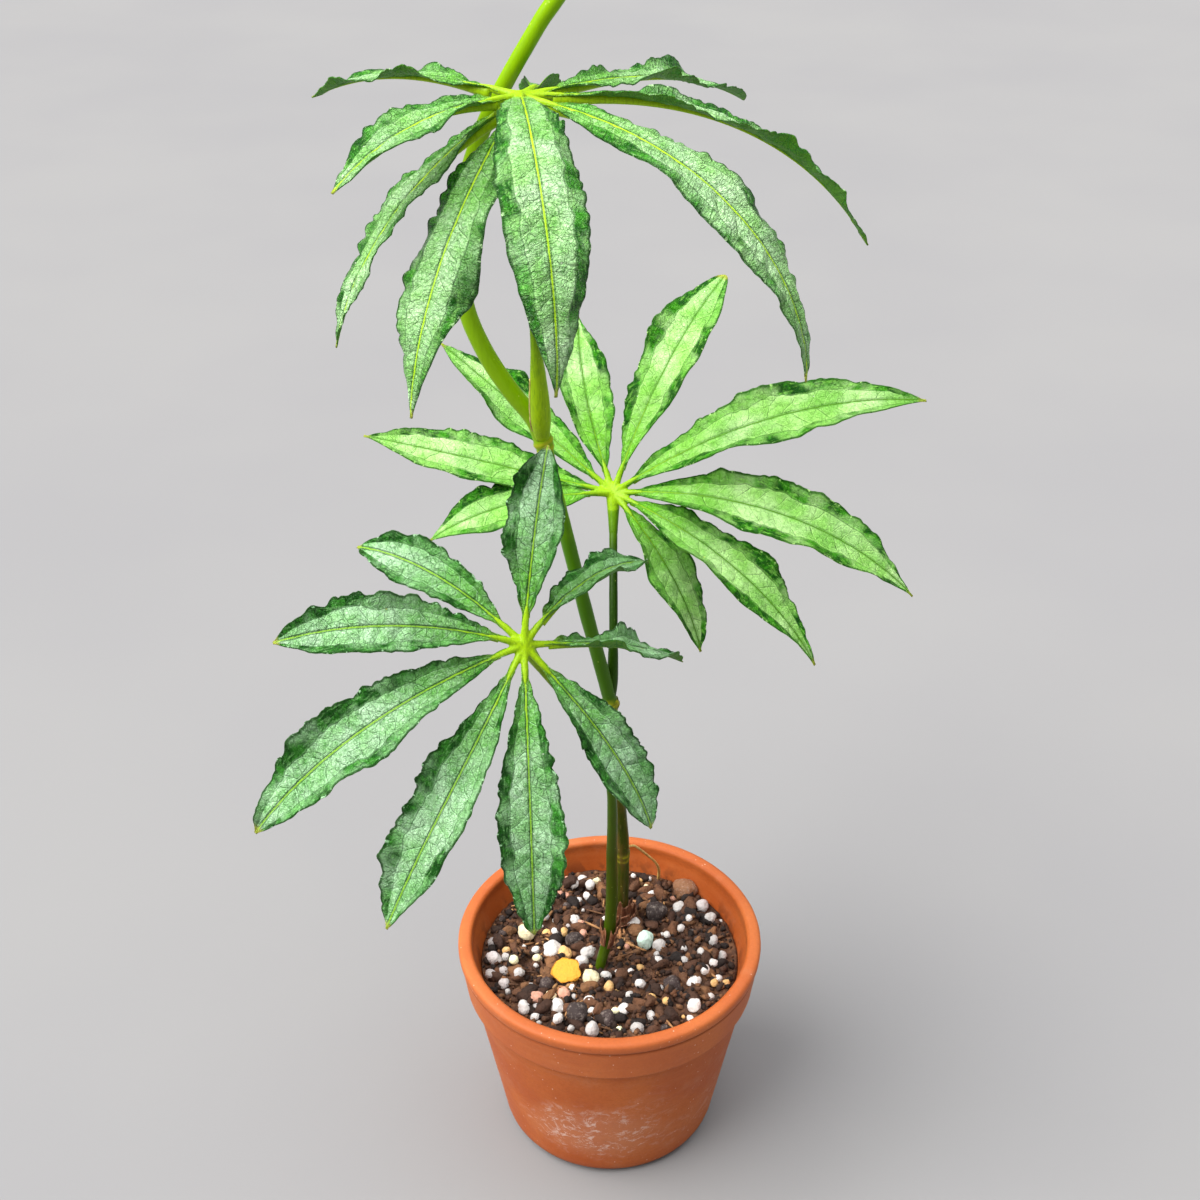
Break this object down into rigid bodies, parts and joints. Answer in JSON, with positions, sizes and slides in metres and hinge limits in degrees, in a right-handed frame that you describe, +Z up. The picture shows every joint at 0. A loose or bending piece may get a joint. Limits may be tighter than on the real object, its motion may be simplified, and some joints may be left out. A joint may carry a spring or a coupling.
{
  "type": "potted anthurium",
  "caption": "Climbing house plant with finger-lobed, ruffled green leaves on tall stalks, rooted in potting mix in a tapered terracotta pot.",
  "frame": {"origin": "middle of the pot's foot, on the surface that it stands on, which is also the middle of the bottom of the box round the whole plant", "axes": "+Z up along the pot's axis, +X to the right and +Y to the back as the plant is seen from its front"},
  "size_m": [0.2221, 0.1931, 0.4729],
  "materials": {
    "terracotta": "matte",
    "potting_mix": "matte",
    "green_stem": "satin",
    "deep_leaf": "satin",
    "light_leaf": "satin"
  },
  "bodies": {
    "root": {"pot": "terracotta", "soil": "potting_mix", "stem": "green_stem", "leaf_front": "deep_leaf", "leaf_middle": "light_leaf", "leaf_top": "deep_leaf"}
  },
  "joints": []
}
